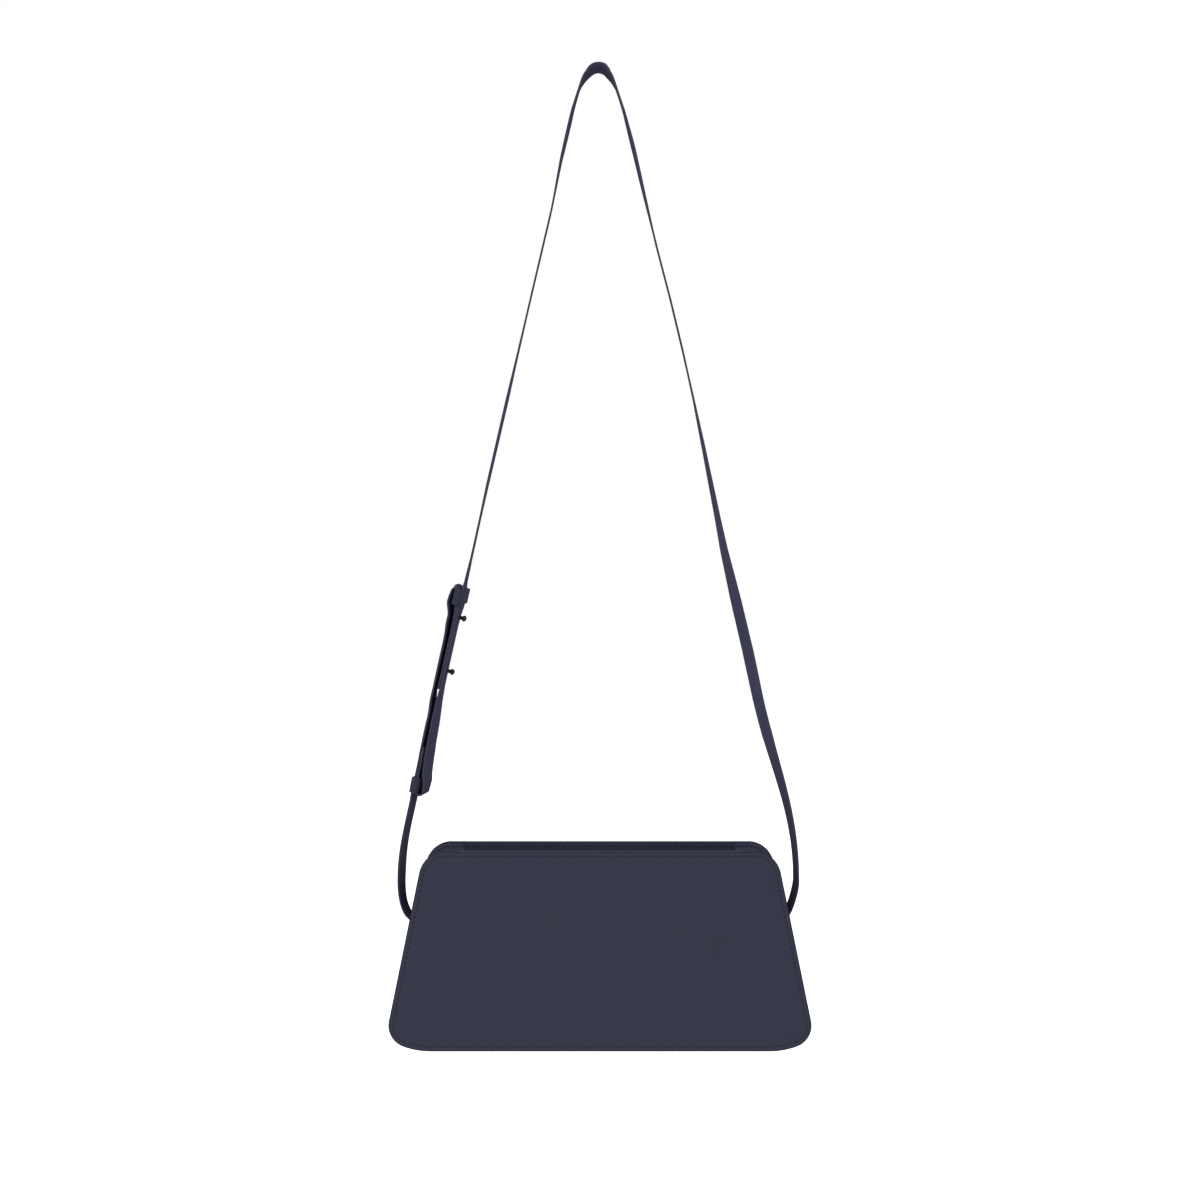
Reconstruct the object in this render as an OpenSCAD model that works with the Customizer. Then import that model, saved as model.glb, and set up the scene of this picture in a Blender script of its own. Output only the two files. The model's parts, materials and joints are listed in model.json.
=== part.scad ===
// Trapeze bag: a small stiff leather shoulder bag that hangs by its long flat strap.
// The origin is where a peg or a shoulder carries the strap, at the underside of its top bend.
// The front of the bag faces -Y and +X is to the right of someone who looks at it.

/* [Panels] */
// Width of the front and back panels at the base, before the corners are rounded
panel_base_w = 261; // [235:1:285]
// Width of the panels at the top, before the corners are rounded
panel_top_w = 212; // [204:1:230]
// Height of the panels
panel_h = 120; // [105:1:150]
// Radius of the panels' four corners
corner_r = 16; // [14:0.5:22]
// Thickness of the panel leather
panel_t = 2; // [1.4:0.1:2.6]
// Depth of the bag over both panels
bag_depth = 55; // [50:1:75]

/* [Gusset] */
// Thickness of the gusset leather
gusset_t = 1.6; // [1.2:0.1:2]
// How far the gusset's web lies inside the panels' edges
gusset_recess = 5; // [4:0.5:7]
// Length of the mouth along the top of the bag
mouth_w = 168; // [150:1:172]

/* [Stiffeners, lining and pocket] */
// Thickness of the board behind each panel
stiffener_t = 1; // [0.6:0.1:1.6]
// Thickness of the lining
lining_t = 0.6; // [0.4:0.1:1]
// Thickness of the loose board on the base
base_board_t = 1.5; // [1:0.1:3]
// Width of the slip pocket on the back lining
pocket_w = 150; // [100:1:160]
// Height of the slip pocket
pocket_h = 62; // [40:1:75]
// Thickness of the pocket's cloth
pocket_t = 0.8; // [0.6:0.1:1.2]

/* [Zip] */
// Depth of the zip's middle below the top edge of the panels
zip_depth = 9.7; // [9.5:0.1:14]
// Thickness of the leather strip on each side of the zip
facing_t = 1.2; // [0.8:0.1:1.6]
// Width of the slot between the two leather strips
facing_slot = 22; // [18:1:28]
// Width of each zip tape
tape_w = 16; // [14:0.5:20]
// Thickness of the zip tapes
tape_t = 0.6; // [0.4:0.1:0.8]
// Distance from one tooth to the next on one tape
tooth_pitch = 3.2; // [3:0.1:4]
// Thickness of the zip chain through its teeth
chain_t = 2.4; // [2:0.1:3]
// Width of the closed zip chain over its teeth
chain_w = 6; // [5:0.1:7]
// Length of the slider
slider_l = 13; // [12:0.5:16]
// Thickness of the slider's two plates
slider_plate_t = 1.1; // [0.8:0.1:1.4]
// Length of the pull from its hinge bar to its end
pull_l = 20; // [16:1:30]
// Thickness of the pull
pull_t = 1.4; // [1:0.1:1.5]
// How far the pull tips down before it lies on the slider's nose
pull_droop = 2; // [0:0.1:2]

/* [Strap] */
// Width of the strap
strap_w = 18; // [14:1:22]
// Thickness of the strap leather
strap_t = 1.2; // [1:0.1:1.6]
// Height of the strap's carrying point above the top edge of the panels
strap_drop = 476; // [420:1:560]
// Radius of the peg that the strap hangs on
peg_r = 11.3; // [8:0.1:20]
// Height of the two slits where the strap enters the gusset
slit_z = 75; // [62:1:82]
// How far the strap bows out beside the gusset before it rises
strap_bow = 11; // [9:0.2:18]
// Height that the strap gains in its turn out of the slit
bow_rise = 25; // [20:1:32]
// Height above the base where the right leg of the strap begins to run straight
straight_z = 210; // [190:1:240]
// Distance of that place from the middle of the bag
straight_x = 97; // [92:1:102]

/* [Strap ends] */
// Radius of the strap's bend over the lower lip of its slit
lip_bend_r = 2; // [1.8:0.1:2.4]
// Length of the strap end that lies on the gusset's lining
strap_tail = 30; // [28:1:36]
// Thickness of the leather patch over each strap end
patch_t = 1.6; // [1:0.1:2]
// Width of the patch
patch_w = 24; // [22:1:30]
// Radius of the rivets' shanks
rivet_r = 1.5; // [1.2:0.1:1.8]
// Radius of the rivets' caps
rivet_cap_r = 4; // [3:0.1:4.5]
// Height of the rivets' caps
rivet_cap_h = 1.4; // [1:0.1:2]

/* [Strap adjuster] */
// Height of the lower keeper above the base of the bag
keeper_z = 157; // [145:1:170]
// Distance of the strap in the lower keeper from the middle of the bag
keeper_x = 113; // [104:1:116]
// Distance between the two keepers
keeper_gap = 119; // [112:1:150]
// Length of each keeper along the strap
keeper_h = 9.5; // [7:0.5:12]
// Thickness of the keeper leather
keeper_t = 1.6; // [1.4:0.1:2.2]
// Inner radius of the keeper's four bends
keeper_bend_r = 1.2; // [0.4:0.1:1.6]
// Distance between the two studs
stud_pitch = 34; // [28:1:36]
// Distance from the upper keeper's middle down to the upper stud
stud_drop = 13; // [12:0.5:16]
// Radius of the studs' heads
stud_head_r = 1.8; // [1.6:0.1:2.4]
// Radius of the studs' necks
stud_neck_r = 1.1; // [1:0.05:1.3]
// How far the studs stand out of the strap
stud_out = 4.8; // [4:0.1:6]

/* [Clearances] */
// Gap round the strap inside a keeper
keeper_play = 0.6; // [0.3:0.1:0.9]
// Gap between a keeper's wall and the strap that is folded round it
fold_play = 0.5; // [0.4:0.1:1.6]
// Gap between the strands that run beside each other from keeper to keeper
strand_gap = 1.9; // [1.6:0.1:2.4]
// Gap between layers of strap that lie on each other
layer_gap = 0.15; // [0.05:0.05:0.3]
// Gap round a shank, a stud or a pin in its hole
hole_play = 0.05; // [0.02:0.01:0.1]
// Gap between the slider and the zip chain
slider_play = 0.2; // [0.1:0.05:0.4]
// Gap between two faces that move past each other
run_gap = 0.3; // [0.2:0.05:0.5]

/* [Hidden] */

$fn = 64;

leather = "#383a49";
dark_leather = "#2c2e3b";
cloth = "#23252f";
board = "#8b8171";
gunmetal = "#35363a";

// Heights and depths that the pieces share
hang_h = panel_h + strap_drop;
side_tilt = atan((panel_base_w - panel_top_w) / 2 / panel_h);
inner_y = bag_depth / 2 - panel_t;
lining_y = inner_y - stiffener_t - lining_t;
web_in = gusset_recess + gusset_t;
lining_in = web_in + lining_t;
zip_z = panel_h - zip_depth;
facing_z = zip_z + tape_t / 2;
lining_top = zip_z - tape_t / 2;
beyond = 40;

// The right side of the panels' outline at a height, moved in by an inset
function side_x(z, inset) = panel_base_w / 2 - z * tan(side_tilt) - inset / cos(side_tilt);
low_corner = [side_x(corner_r, corner_r), corner_r];
high_corner = [side_x(panel_h - corner_r, corner_r), panel_h - corner_r];
side_out = [cos(side_tilt), sin(side_tilt)];
zip_l = 2 * high_corner[0] - 0.6;

// The panels' outline: a trapeze with round corners, moved in by an inset
module outline(inset) {
    r = corner_r - inset;
    for (s = [-1, 1], c = [low_corner, high_corner])
        translate([s * c[0], c[1]]) circle(r);
    right = [low_corner - [0, r], low_corner + r * side_out,
             high_corner + r * side_out, high_corner + [0, r]];
    polygon(concat(right, [for (i = [3:-1:0]) [-right[i][0], right[i][1]]]));
}

// A flat shape drawn in X and Z, made into a plate that starts at depth y0
module plate(y0, t) {
    translate([0, y0 + t, 0]) rotate([90, 0, 0]) linear_extrude(t) children();
}

// The bag stands on z = 0 while it is drawn, and is then lowered until its strap hangs at the origin
module hung() {
    translate([0, 0, -hang_h]) children();
}

module block(x, y, z) {
    translate([x[0], y[0], z[0]]) cube([x[1] - x[0], y[1] - y[0], z[1] - z[0]]);
}

module rounded(w, l, r) {
    for (x = [-1, 1], y = [-1, 1]) translate([x * (w / 2 - r), y * (l / 2 - r)]) circle(r);
    square([w - 2 * r, l], center = true);
    square([w, l - 2 * r], center = true);
}

// Panels, and what is glued behind them
module panel(s) {
    color(leather) hung() plate(s > 0 ? inner_y : -inner_y - panel_t, panel_t) outline(0);
}

module stiffener(s) {
    color(board) hung() plate(s > 0 ? inner_y - stiffener_t : -inner_y, stiffener_t)
        intersection() {
            outline(web_in + hole_play);
            translate([-panel_base_w / 2, 0]) square([panel_base_w, lining_top - run_gap]);
        }
}

module panel_lining(s) {
    color(cloth) hung() plate(s > 0 ? lining_y : -lining_y - lining_t, lining_t)
        intersection() {
            outline(lining_in);
            translate([-panel_base_w / 2, 0]) square([panel_base_w, lining_top - run_gap]);
        }
}

// The turned-over mouth of the slip pocket stands a little proud of its cloth
pocket_z = web_in + lining_t + base_board_t + 14;
pocket_room = 0.8;
pocket_hem = 9;
module inner_pocket() {
    color(cloth) hung() difference() {
        union() {
            block([-pocket_w / 2, pocket_w / 2], [lining_y - pocket_room - pocket_t, lining_y],
                  [pocket_z, pocket_z + pocket_h]);
            block([-pocket_w / 2, pocket_w / 2],
                  [lining_y - pocket_room - 1.5 * pocket_t, lining_y - pocket_room],
                  [pocket_z + pocket_h - pocket_hem, pocket_z + pocket_h]);
        }
        block([-pocket_w / 2 + 5, pocket_w / 2 - 5], [lining_y - pocket_room, lining_y + 1],
              [pocket_z + 5, pocket_z + pocket_h + 1]);
    }
}

module base_board() {
    color(cloth) hung() translate([0, 0, lining_in])
        linear_extrude(base_board_t)
            rounded(2 * (low_corner[0] - 4), 2 * (inner_y - gusset_t - run_gap), 3);
}

// Where the strap goes through the gusset, and how it lies behind it
slit_x = side_x(slit_z, gusset_recess);
wall_t = gusset_t + lining_t;
exit_out = strap_w / 2 * sin(45) * tan(side_tilt) + run_gap;
tail_depth = wall_t + layer_gap + strap_t / 2;
lip_z = slit_z - lip_bend_r;
lip_centre = [side_x(lip_z, gusset_recess + tail_depth - lip_bend_r), lip_z];
patch_depth = tail_depth + strap_t / 2 + layer_gap;
rivet_at = [13, 24];
patch_l = strap_tail - 4;

// Local frame on the right side wall at the slit: x runs down the wall, y back, z out of it
module on_wall(side) {
    mirror([side < 0 ? 1 : 0, 0, 0])
        translate([slit_x, 0, slit_z]) rotate([0, 90 - side_tilt, 0]) children();
}

module slits() {
    for (side = [-1, 1]) translate([side * slit_x, 0, 0])
        block([-6, 6], [-strap_w / 2 - run_gap, strap_w / 2 + run_gap],
              [lip_z, slit_z + strap_t / 2 + run_gap]);
}

module rivet_holes() {
    for (side = [-1, 1]) on_wall(side) for (x = rivet_at)
        translate([x, 0, -beyond / 2]) cylinder(h = beyond, r = rivet_r + hole_play);
}

module ring(outer, inner) {
    difference() {
        outline(outer);
        outline(inner);
    }
}

// The gusset: a web between the panels, with its two edges turned out behind their rims
module gusset() {
    color(leather) hung() difference() {
        union() {
            plate(-inner_y, 2 * inner_y) ring(gusset_recess, web_in);
            plate(-inner_y, gusset_t) ring(0, web_in);
            plate(inner_y - gusset_t, gusset_t) ring(0, web_in);
        }
        block([-mouth_w / 2, mouth_w / 2], [-bag_depth, bag_depth],
              [panel_h - web_in - 1, panel_h + 1]);
        slits();
        rivet_holes();
    }
}

module gusset_lining() {
    y = inner_y - gusset_t;
    color(cloth) hung() difference() {
        plate(-y, 2 * y) ring(web_in, lining_in);
        block([-zip_l / 2 - 1, zip_l / 2 + 1], [-bag_depth, bag_depth],
              [panel_h - corner_r, panel_h]);
        slits();
        rivet_holes();
    }
}

// The zip: a leather strip along each rim, two tapes with teeth, stops, slider and pull
module zip_facing(s) {
    color(dark_leather) hung() mirror([0, s > 0 ? 1 : 0, 0]) {
        block([-mouth_w / 2, mouth_w / 2], [-inner_y, gusset_t - inner_y], [facing_z, panel_h]);
        block([-zip_l / 2, zip_l / 2], [-inner_y, -facing_slot / 2],
              [facing_z, facing_z + facing_t]);
    }
}

end_tab_l = 12;
module zip_end_tab(side) {
    color(leather) hung() mirror([side < 0 ? 1 : 0, 0, 0])
        translate([zip_l / 2 - end_tab_l, 0, 0])
            block([0, end_tab_l], [-inner_y + gusset_t + run_gap, inner_y - gusset_t - run_gap],
                  [facing_z + facing_t, panel_h - web_in]);
}

tape_edge = 1.6;
tooth_w = tooth_pitch / 2 - 0.2;
stop_l = 2.5;
chain_end = zip_l / 2 - end_tab_l - 2;
top_stop_x = chain_end - stop_l;
slider_x = top_stop_x - run_gap - slider_l / 2;
// Fully open, the pull still lies clear of the leather tab at the left end
slider_open_x = end_tab_l - zip_l / 2 + 2 * run_gap + pull_l;
bottom_stop_x = slider_open_x - slider_l / 2 - run_gap;
// The teeth end inside the slider, behind the wedge that would part them
wedge_l = 3;
teeth_end = slider_x + slider_l / 2 - 1 - wedge_l - run_gap;
teeth_n = floor((teeth_end - tooth_w - bottom_stop_x) / tooth_pitch);

module zip_tape(s) {
    color(cloth) hung() mirror([0, s > 0 ? 1 : 0, 0])
        block([-zip_l / 2, zip_l / 2], [-tape_edge - tape_w, -tape_edge],
              [zip_z - tape_t / 2, zip_z + tape_t / 2]);
}

module tooth() {
    difference() {
        union() {
            block([0, tooth_w], [-chain_w / 2, 0.3], [-chain_t / 2, chain_t / 2]);
            translate([tooth_w / 2, 0.3, -chain_t / 2])
                cylinder(h = chain_t, r = tooth_w / 2, $fn = 24);
        }
        block([-1, tooth_w + 1], [-chain_w, -tape_edge], [-tape_t / 2, tape_t / 2]);
    }
}

module zip_teeth(s) {
    first = bottom_stop_x + (s > 0 ? tooth_pitch / 2 : 0) + 0.2;
    color(gunmetal) hung() mirror([0, s > 0 ? 1 : 0, 0])
        for (i = [0:teeth_n - 1]) translate([first + i * tooth_pitch, 0, zip_z]) tooth();
}

module zip_top_stops() {
    color(gunmetal) hung() for (s = [0, 1]) mirror([0, s, 0]) translate([top_stop_x, 0, zip_z])
        difference() {
            block([0, stop_l], [-chain_w / 2, -tape_edge + 0.8], [-chain_t / 2, chain_t / 2]);
            block([-1, stop_l + 1], [-chain_w, -tape_edge], [-tape_t / 2, tape_t / 2]);
        }
}

module zip_bottom_stop() {
    color(gunmetal) hung() translate([bottom_stop_x - stop_l, 0, zip_z]) difference() {
        block([0, stop_l], [-chain_w / 2, chain_w / 2], [-chain_t / 2, chain_t / 2]);
        for (s = [0, 1]) mirror([0, s, 0])
            block([-1, stop_l + 1], [-chain_w, -tape_edge], [-tape_t / 2, tape_t / 2]);
    }
}

flange_t = 1.2;
plate_z = chain_t / 2 + slider_play;
slider_w = chain_w + 2 * (slider_play + flange_t);
slider_top = plate_z + slider_plate_t;
bridge_t = 1.2;
bridge_w = 2.4;
bridge_room = 2.6;
pull_bar_r = 0.75;
pull_bar_z = slider_top + run_gap + pull_bar_r;
bridge_z = pull_bar_z + pull_bar_r + run_gap;
pull_arm = norm([bridge_room + bridge_t, bridge_z + bridge_t - pull_bar_z]) + run_gap;
pull_w = 6.6;

module zip_slider() {
    color(gunmetal) hung() translate([slider_x, 0, zip_z]) {
        for (z = [-slider_top, plate_z]) translate([0, 0, z])
            linear_extrude(slider_plate_t) rounded(slider_l, slider_w, 2.6);
        for (s = [-1, 1], low = [0, 1]) mirror([0, 0, low])
            block([-slider_l / 2 + 2.6, slider_l / 2 - 2.6],
                  [s * (slider_w - flange_t) / 2 - flange_t / 2,
                   s * (slider_w - flange_t) / 2 + flange_t / 2],
                  [tape_t / 2 + slider_play, plate_z]);
        block([slider_l / 2 - 1 - wedge_l, slider_l / 2 - 1], [-1.2, 1.2], [-plate_z, plate_z]);
        for (s = [-1, 1])
            block([s > 0 ? bridge_room : -bridge_room - bridge_t,
                   s > 0 ? bridge_room + bridge_t : -bridge_room],
                  [-bridge_w / 2, bridge_w / 2], [slider_top, bridge_z]);
        translate([0, bridge_w / 2, 0]) rotate([90, 0, 0]) linear_extrude(bridge_w)
            intersection() {
                translate([0, bridge_z]) difference() {
                    translate([0, -2.4]) circle(bridge_room + bridge_t + 0.2);
                    translate([-beyond / 2, -beyond]) square([beyond, beyond]);
                }
                translate([-bridge_room - bridge_t, bridge_z])
                    square([2 * (bridge_room + bridge_t), bridge_t]);
            }
    }
}

module zip_pull() {
    arm_in = bridge_w / 2 + run_gap;
    color(gunmetal) hung() translate([slider_x, 0, zip_z + pull_bar_z]) rotate([0, -pull_droop, 0]) {
        rotate([90, 0, 0]) cylinder(h = pull_w - 0.4, r = pull_bar_r, center = true);
        difference() {
            translate([0, 0, -pull_t / 2]) linear_extrude(pull_t) {
                for (s = [-1, 1]) translate([-pull_arm - 0.5, s > 0 ? arm_in : -pull_w / 2])
                    square([pull_arm + 0.5, pull_w / 2 - arm_in]);
                translate([-pull_l + pull_w / 2, -pull_w / 2])
                    square([pull_l - pull_w / 2 - pull_arm, pull_w]);
                translate([-pull_l + pull_w / 2, 0]) circle(pull_w / 2);
            }
            translate([-pull_l + pull_w / 2 + 0.6, 0, -pull_t])
                cylinder(h = 2 * pull_t, r = 1.3);
        }
    }
}

// Routes of the straps, drawn in X and Z along the middle of the leather
function bezier(a, b, c, d, n) = [for (i = [1:n]) let (t = i / n, s = 1 - t)
    s * s * s * a + 3 * s * s * t * b + 3 * s * t * t * c + t * t * t * d];
function arc(centre, r, from, to, n) = [for (i = [0:n]) let (w = from + (to - from) * i / n)
    centre + r * [cos(w), sin(w)]];
function along(route, i) = let (a = route[max(i - 1, 0)], b = route[min(i + 1, len(route) - 1)])
    (b - a) / norm(b - a);
function beside(route, d) = [for (i = [0:len(route) - 1]) let (w = along(route, i))
    route[i] + d * [-w[1], w[0]]];
function mirrored(route) = [for (p = route) [-p[0], p[1]]];

// A strip of strap leather that follows a route
module strip(route) {
    right = beside(route, -strap_t / 2);
    plate(-strap_w / 2, strap_w)
        polygon(concat(beside(route, strap_t / 2), [for (i = [len(right) - 1:-1:0]) right[i]]));
}

// The strap's top bend lies on the peg, and each leg runs straight from there
bend_r = peg_r + strap_t / 2;
bend_centre = [0, hang_h - peg_r];
function leg_tilt(p) = let (h = bend_centre[1] - p[1])
    acos(bend_r / norm([p[0], h])) - atan2(h, abs(p[0]));

// Frame of the adjuster: u runs up from the lower keeper, v across to the right, and the tails
// of both straps lie at v = 0. It leans less than the pull of the strap, so that the short strap
// at the lower keeper and the long one at the upper keeper share the line of that pull.
layer = strap_t + layer_gap;
load_start = [-keeper_x, keeper_z];
adjuster_tilt = leg_tilt(load_start) - atan(layer / keeper_gap);
keeper_low = load_start + layer * [cos(adjuster_tilt), -sin(adjuster_tilt)];
function adj(u, v) = keeper_low + u * [sin(adjuster_tilt), cos(adjuster_tilt)]
    + v * [cos(adjuster_tilt), -sin(adjuster_tilt)];
stud_u = [keeper_gap - stud_drop, keeper_gap - stud_drop - stud_pitch];
// Both tails end between the lower stud and the spare hole below it, with a gap between them
tail_below_stud = 14;
tail_gap = 4.4;
short_tail_u = stud_u[1] - tail_below_stud;
long_tail_u = short_tail_u - tail_gap;
wall_v = strap_t / 2 + keeper_play + keeper_t / 2;
outer_v = wall_v + keeper_t / 2 + fold_play + strap_t / 2;
strand_v = strap_t + strand_gap;
// The outer strand comes in to the keeper over the length of its bulge, and its fold goes round
// an arc whose centre lies just inside the keeper's end
bulge_l = 16;
near_u = keeper_h / 2 + 1;
fold_u = keeper_h / 2 - 0.6;

// A stretch of strap that moves from one v to another in an even curve
function sway(u0, v0, u1, v1, n) =
    bezier([u0, v0], [(u0 + u1) / 2, v0], [(u0 + u1) / 2, v1], [u1, v1], n);

// One strap's end: its outer strand swings out beside the keeper, folds round the keeper's wall
// and comes back through the keeper as a tail. The other keeper holds the same thing turned over.
function end_loop(turn) = let (
        at = function (p) turn > 0 ? adj(keeper_gap - p[0], -p[1]) : adj(p[0], p[1]),
        start = turn > 0 ? keeper_gap - near_u : long_tail_u,
        tail = turn > 0 ? keeper_gap - short_tail_u : long_tail_u,
        fold = arc([0, 0], outer_v / 2, 0, -180, 12))
    concat([at([start, layer])],
        [for (p = sway(start, layer, near_u + bulge_l, strand_v, 8)) at(p)],
        [for (p = sway(near_u + bulge_l, strand_v, near_u, outer_v, 6)) at(p)],
        [for (p = fold) at([-fold_u + p[1], outer_v / 2 + p[0]])],
        [at([tail, 0])]);

// Out of the slit and up beside the bag, as far as where the leg runs straight
exit_x = slit_x + exit_out + run_gap;
bow_x = slit_x + strap_bow;
bow_z = slit_z + bow_rise;
function rise(end, tilt) = let (
        x = exit_x, h = (end[1] - bow_z) * 0.38,
        up = [-sin(tilt), cos(tilt)])
    concat([[x, slit_z]],
        bezier([x, slit_z], [x + 0.6 * (bow_x - x), slit_z], [bow_x, bow_z - 0.55 * bow_rise],
               [bow_x, bow_z], 10),
        bezier([bow_x, bow_z], [bow_x, bow_z + h], end - h * up, end, 10));

leg_start = [straight_x, straight_z];
right_tilt = leg_tilt(leg_start);
long_top = adj(keeper_gap + keeper_h, layer);
left_tilt = leg_tilt(long_top);
long_route = concat(rise(leg_start, right_tilt),
    arc(bend_centre, bend_r, right_tilt, 180 - left_tilt, 20),
    [long_top], end_loop(-1));
short_low = adj(-keeper_h, -layer);
short_route = concat(mirrored(rise([-short_low[0], short_low[1]], adjuster_tilt)), end_loop(1));

// Turns and moves what is drawn round the origin to a place on the adjuster, with x across it
module at_adjuster(u, v) {
    p = adj(u, v);
    translate([p[0], 0, p[1]]) rotate([0, adjuster_tilt, 0]) children();
}

hole_r = stud_neck_r + hole_play;
spare_holes = 2;

module strap_long() {
    color(leather) hung() difference() {
        strip(long_route);
        for (i = [-spare_holes:1 + spare_holes]) at_adjuster(stud_u[0] - i * stud_pitch / 2, layer)
            rotate([0, 90, 0]) cylinder(h = 2.2 * strap_t, r = hole_r, center = true);
    }
}

module strap_short() {
    color(leather) hung() difference() {
        strip(short_route);
        for (u = stud_u) at_adjuster(u, 0)
            rotate([0, 90, 0]) cylinder(h = 2 * strap_t, r = hole_r, center = true);
    }
}

// Each strap's last stretch turns with the bag: through the slit and down the lining
end_route = concat([[slit_x + exit_out, slit_z]],
    arc(lip_centre, lip_bend_r, 90, 180 + side_tilt, 10),
    [lip_centre - lip_bend_r * side_out + strap_tail * [side_out[1], -side_out[0]]]);

module strap_end(side) {
    color(leather) hung() difference() {
        strip(side > 0 ? end_route : mirrored(end_route));
        rivet_holes();
    }
}

module anchor_patch(side) {
    color(leather) hung() difference() {
        on_wall(side) translate([8, 0, -patch_depth - patch_t])
            linear_extrude(patch_t) translate([patch_l / 2, 0]) rounded(patch_l, patch_w, 3);
        rivet_holes();
    }
}

module anchor_rivets(side) {
    length = patch_depth + patch_t;
    color(gunmetal) hung() on_wall(side) for (x = rivet_at) translate([x, 0, 0])
        rotate_extrude() polygon(concat(
            [[0, rivet_cap_h]],
            [for (w = [60:-15:0]) [rivet_cap_r * cos(w), rivet_cap_h * sin(w)]],
            [[rivet_r, 0], [rivet_r, -length]],
            [for (w = [0:15:60]) [rivet_cap_r * cos(w), -length - rivet_cap_h * sin(w)]],
            [[0, -length - rivet_cap_h]]));
}

// A keeper is a closed leather band. It holds one strap and hangs in the other strap's fold.
module keeper(u, turn) {
    inner_v = 2 * strap_t + layer_gap + 2 * keeper_play;
    inner_w = strap_w + 2 * keeper_play;
    middle_v = turn * layer / 2;
    color(dark_leather) hung() at_adjuster(u, middle_v) translate([0, 0, -keeper_h / 2])
        linear_extrude(keeper_h) difference() {
            rounded(inner_v + 2 * keeper_t, inner_w + 2 * keeper_t, keeper_bend_r + keeper_t);
            rounded(inner_v, inner_w, keeper_bend_r);
        }
}

// Button stud: head and neck outside the long strap, bored for the screw that comes from behind
screw_r = 0.6;
base_t = 0.8;
base_r = 3.2;
stud_root = -strap_t / 2;
stud_face = layer + strap_t / 2;
head_h = stud_out / 2;
module stud(u) {
    neck = stud_face + stud_out - head_h;
    color(gunmetal) hung() at_adjuster(u, 0) rotate([0, 90, 0]) difference() {
        rotate_extrude() polygon(concat(
            [[0, stud_root], [stud_neck_r, stud_root], [stud_neck_r, neck],
             [stud_head_r * 0.8, neck]],
            [for (w = [-30:15:90]) [stud_head_r * cos(w), neck + head_h * (1 + 2 * sin(w)) / 3]]));
        translate([0, 0, stud_root - 1]) cylinder(h = stud_out, r = screw_r + hole_play);
    }
}

module stud_screws() {
    color(gunmetal) hung() for (u = stud_u) at_adjuster(u, 0) rotate([0, 90, 0])
        rotate_extrude() polygon([[0, stud_root - base_t], [base_r - 0.3, stud_root - base_t],
            [base_r, stud_root - base_t + 0.3], [base_r, stud_root], [screw_r, stud_root],
            [screw_r, stud_root + stud_out - 1.5], [0, stud_root + stud_out - 1.5]]);
}

panel(-1);  // front_panel
panel(1);  // back_panel
gusset();
stiffener(-1);  // front_stiffener
stiffener(1);  // back_stiffener
base_board();
panel_lining(-1);  // front_lining
panel_lining(1);  // back_lining
gusset_lining();
inner_pocket();
zip_facing(-1);  // zip_facing_front
zip_facing(1);  // zip_facing_back
zip_end_tab(-1);  // zip_end_tab_left
zip_end_tab(1);  // zip_end_tab_right
zip_tape(-1);  // zip_tape_front
zip_tape(1);  // zip_tape_back
zip_teeth(-1);  // zip_teeth_front
zip_teeth(1);  // zip_teeth_back
zip_top_stops();
zip_bottom_stop();
zip_slider();
zip_pull();
strap_long();
strap_short();
strap_end(-1);  // strap_end_left
strap_end(1);  // strap_end_right
anchor_patch(-1);  // anchor_patch_left
anchor_patch(1);  // anchor_patch_right
anchor_rivets(-1);  // anchor_rivets_left
anchor_rivets(1);  // anchor_rivets_right
keeper(keeper_gap, 1);  // keeper_upper
keeper(0, -1);  // keeper_lower
stud(stud_u[0]);  // stud_upper
stud(stud_u[1]);  // stud_lower
stud_screws();
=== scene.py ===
import json
import math

import bmesh
import bpy
import numpy as np
from mathutils import Matrix, Vector


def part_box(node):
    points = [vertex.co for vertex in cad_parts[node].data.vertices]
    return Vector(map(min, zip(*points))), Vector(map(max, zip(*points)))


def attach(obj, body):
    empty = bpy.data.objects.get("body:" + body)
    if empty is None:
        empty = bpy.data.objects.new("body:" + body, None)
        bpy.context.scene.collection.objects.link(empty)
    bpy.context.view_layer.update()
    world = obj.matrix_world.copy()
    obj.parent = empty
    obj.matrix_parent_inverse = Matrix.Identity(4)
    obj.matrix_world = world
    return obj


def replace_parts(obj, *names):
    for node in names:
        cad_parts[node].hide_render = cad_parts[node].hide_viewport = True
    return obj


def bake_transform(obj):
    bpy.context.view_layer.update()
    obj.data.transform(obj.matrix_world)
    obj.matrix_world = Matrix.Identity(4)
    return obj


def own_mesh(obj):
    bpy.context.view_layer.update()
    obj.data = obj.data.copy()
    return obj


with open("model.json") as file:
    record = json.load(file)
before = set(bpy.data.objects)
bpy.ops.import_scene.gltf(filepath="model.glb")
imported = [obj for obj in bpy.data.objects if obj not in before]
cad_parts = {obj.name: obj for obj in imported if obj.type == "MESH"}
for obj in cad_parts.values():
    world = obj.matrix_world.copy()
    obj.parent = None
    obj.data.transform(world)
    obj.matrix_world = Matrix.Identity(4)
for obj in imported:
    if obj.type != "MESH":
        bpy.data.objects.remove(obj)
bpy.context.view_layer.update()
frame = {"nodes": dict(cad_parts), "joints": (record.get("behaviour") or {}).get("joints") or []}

# Front and back panels
# Two trapezes of 2 mm calf leather, cut with round corners, their cut edges sanded and painted,
# and one row of lockstitch all round that holds each panel to the gusset behind it.
MM = 0.001
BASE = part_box("front_panel")[0][2]
PANEL_BASE_W = 261 * MM
PANEL_TOP_W = 212 * MM
PANEL_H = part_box("front_panel")[1][2] - BASE
CORNER_R = 16 * MM
LOW_SIDE_R = 13.5 * MM
LOW_FLAT_R = 48 * MM
LOW_FLAT_DEG = 20
FRONT_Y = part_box("front_panel")[0][1]
PANEL_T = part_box("front_panel")[1][1] - FRONT_Y
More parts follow.
